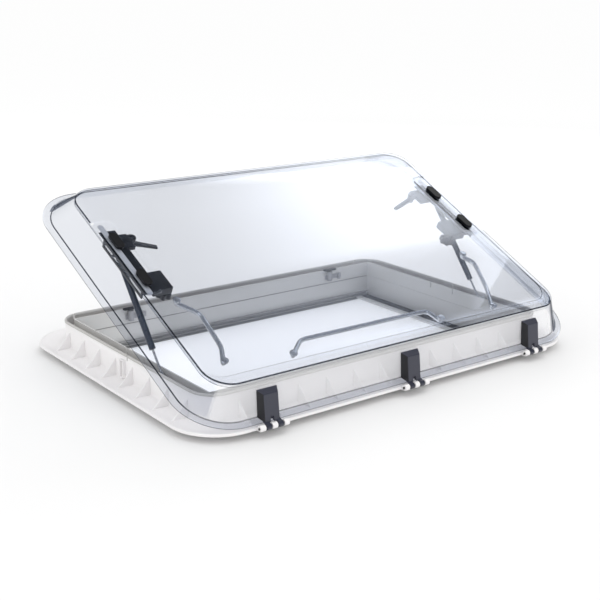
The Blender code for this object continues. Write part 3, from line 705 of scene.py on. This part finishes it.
SPACER = (0.0603, 0.0617)
SPACER_U = 0.4640
spacer_grey = moulded("spacer_grey", (0.52, 0.53, 0.55), 0.4)
fitting_black = moulded("fitting_black", (0.016, 0.017, 0.022), 0.30,
                        cloud=0.2, relief=0.14, Coat_Weight=0.1)
cap_black = moulded("cap_black", (0.010, 0.010, 0.012), 0.45,
                    cloud=0.2, relief=0.14, Specular_IOR_Level=0.15)
fitting_steel = Finish("fitting_steel", (0.55, 0.56, 0.58), 0.28, metallic=1.0)
fitting_steel.set("Roughness", fitting_steel.noise(400.0, 2.0, (0.1, 1, 1)) * 0.2 + 0.18)
for side in ("left", "right"):
    middle = SPACER_U if side == "right" else -SPACER_U
    bar = slab(middle, 0.0063, 0.354, 0.592, 0.006, *SPACER)
    shown(side + "_spacer_bar", bar, "lid", spacer_grey, [side + "_spacer"], place=LID,
          rounding=0.0002)
    for place in ("front", "rear"):
        keep(side + "_" + place + "_cap", cap_black, rounding=0.0022, steps=4)
    for part in ("rail", "latch_block", "clamp_block"):
        keep(side + "_" + part, fitting_black, rounding=0.0006)
    keep(side + "_lever", fitting_black, rounding=0.0005)
    keep(side + "_clamp_knob", fitting_black, rounding=0.0014, steps=3, angle=50)
    keep(side + "_lever_pin", fitting_steel, rounding=0.0004)


# Handles: three bent aluminium tubes on turned feet, bolted through the inner pane.

handle_metal = Finish("handle_metal", (0.78, 0.80, 0.83), 0.28, metallic=0.8)
drawn = handle_metal.noise(500.0, 3.0)
handle_metal.set("Roughness", drawn * 0.15 + 0.16)
handle_metal.bump(drawn, 0.05, 0.0001)
for place in ("left", "front", "right"):
    keep(place + "_handle", handle_metal, rounding=0.0)


# Stays: a bright rod on a ball stud in the channel, and a dark painted cylinder that slides on it
# and carries the pin that runs in the lid's slotted rail.

stay_paint = Finish("stay_paint", (0.030, 0.040, 0.060), 0.30, Coat_Weight=0.3)
stay_paint.set("Roughness", stay_paint.noise(120.0) * 0.15 + 0.22)
for side in ("left", "right"):
    keep(side + "_stay_foot", fitting_steel, rounding=0.0003)
    keep(side + "_stay_rod", fitting_steel, rounding=0.0)
    keep(side + "_stay_cylinder", stay_paint, rounding=0.0)


# Studio: a pale floor a little under the flange with the roof's cut-out in it, a white board
# below the opening, soft lights round about, two cards for the glazing to reflect, and the camera.

floor_finish = Finish("floor_finish", (0.90, 0.90, 0.90), 0.9, Specular_IOR_Level=0.0)
# The floor's colour darkens towards the object: painted shade that holds down the lamps' light near it.
reach = floor_finish.node("VectorMath", {"operation": "LENGTH"}, {0: floor_finish.places()}, 1)
far = floor_finish.node("MapRange", {"interpolation_type": "SMOOTHSTEP"},
                        {"Value": reach, "From Min": 0.8, "From Max": 5.0})
floor_finish.set("Base Color", floor_finish.mix(far, (0.815, 0.815, 0.815), (0.93, 0.93, 0.93)))
below_finish = Finish("below_finish", (0.90, 0.90, 0.90), 0.9, Specular_IOR_Level=0.0,
                      Emission_Color=(1, 1, 1, 1), Emission_Strength=0.36)
below_finish.set("Roughness", below_finish.noise(4.0) * 0.1 + 0.85)


def stage_piece(name, bm, finish):
    bmesh.ops.recalc_face_normals(bm, faces=bm.faces)
    made = placed(name, bm)
    made.data.materials.append(finish.material)
    return made


FLOOR_Z = -0.0150
FLOOR_REACH = 60.0
floor = loft([
    (FLOOR_REACH, -FLOOR_REACH, FLOOR_REACH, 1.0, FLOOR_Z),
    (0.4765, 0.0365, 0.6715, 0.03, FLOOR_Z + 0.0001),
], closed=False)
bmesh.ops.delete(floor, geom=[f for f in floor.faces if len(f.verts) > 4], context="FACES_ONLY")
stage_piece("floor", floor, floor_finish)
room = bmesh.new()
bmesh.ops.create_grid(room, x_segments=1, y_segments=1, size=0.6)
bmesh.ops.translate(room, vec=(0, 0.35, -0.0400), verts=room.verts)
stage_piece("floor_below", room, below_finish)

world = bpy.data.worlds.new("studio")
world.use_nodes = True
walls = world.node_tree.nodes["Background"]
walls.inputs["Color"].default_value = (1.0, 1.0, 1.0, 1.0)
walls.inputs["Strength"].default_value = 1.06
dark = world.node_tree.nodes.new("ShaderNodeBackground")
dark.inputs["Color"].default_value = (0.80, 0.87, 1.0, 1.0)
dark.inputs["Strength"].default_value = 0.16
paths = world.node_tree.nodes.new("ShaderNodeLightPath")
choice = world.node_tree.nodes.new("ShaderNodeMixShader")
world.node_tree.links.new(paths.outputs["Is Glossy Ray"], choice.inputs[0])
world.node_tree.links.new(walls.outputs[0], choice.inputs[1])
world.node_tree.links.new(dark.outputs[0], choice.inputs[2])
world.node_tree.links.new(choice.outputs[0], world.node_tree.nodes["World Output"].inputs["Surface"])
bpy.context.scene.world = world


def reflected_card(name, low, high, height, power, fade_x, fade_y):
    """A level glowing card that only reflections see. It fades in along X and along Y."""
    bm = block((*low, height), (*high, height + 0.01))
    finish = Finish(name, (0, 0, 0), 1.0)
    glow = 1.0
    for axis, (start, end) in (("X", fade_x), ("Y", fade_y)):
        values = {"Value": finish.along(axis), "From Min": start, "From Max": end}
        glow = glow * finish.node("MapRange", {"interpolation_type": "SMOOTHSTEP"}, values)
    shine = finish.nodes.new("ShaderNodeEmission")
    shine.inputs["Strength"].default_value = power
    links = finish.material.node_tree.links
    links.new(glow.socket, shine.inputs["Color"])
    links.new(shine.outputs[0], finish.nodes["Material Output"].inputs["Surface"])
    card = stage_piece(name, bm, finish)
    card.visible_camera = False
    card.visible_diffuse = False
    card.visible_transmission = False
    card.visible_shadow = False


reflected_card("right_card", (1.2, 0.9), (5.0, 3.2), 3.0, 3.2, (1.3, 3.0), (1.0, 1.35))
reflected_card("left_card", (-4.0, -2.0), (-0.2, 0.2), 3.0, 2.4, (-0.2, -1.6), (0.2, -0.8))


def soft_light(name, place, target, size, power):
    lamp = bpy.data.lights.new(name, "AREA")
    lamp.shape = "RECTANGLE"
    lamp.size, lamp.size_y = size
    lamp.energy = power
    made = bpy.data.objects.new(name, lamp)
    bpy.context.scene.collection.objects.link(made)
    made.location = place
    made.rotation_euler = (Vector(target) - Vector(place)).to_track_quat("-Z", "Y").to_euler()
    made.visible_glossy = False


soft_light("overhead_softbox", (0, 0, 3.2), (0, 0.3, 0), (2.0, 2.0), 10)
soft_light("back_softbox", (2.2, 2.4, 1.7), (0, 0.3, 0), (1.4, 1.4), 14)
soft_light("left_softbox", (-2.8, 0.2, 1.5), (0, 0.3, 0.05), (1.6, 1.6), 6)
soft_light("front_softbox", (0.3, -2.8, 1.2), (0, 0.2, 0.05), (1.6, 1.2), 9)

camera = bpy.data.objects.new("camera", bpy.data.cameras.new("camera"))
bpy.context.scene.collection.objects.link(camera)
camera.data.lens = 67.70
camera.data.sensor_width = 36.0
heading, dip, roll = radians(37.262), radians(16.622), radians(0.446)
ahead = Vector((sin(heading) * cos(dip), cos(heading) * cos(dip), -sin(dip)))
across = Vector((cos(heading), -sin(heading), 0))
upward = across.cross(ahead)
rolled_across = cos(roll) * across + sin(roll) * upward
rolled_upward = cos(roll) * upward - sin(roll) * across
turned = Matrix((rolled_across, rolled_upward, -ahead)).transposed().to_4x4()
camera.matrix_world = Matrix.Translation((-1.5476, -1.6680, 0.8575)) @ turned
camera.data.clip_end = 200.0
bpy.context.scene.camera = camera
bpy.context.scene.view_settings.view_transform = "Standard"
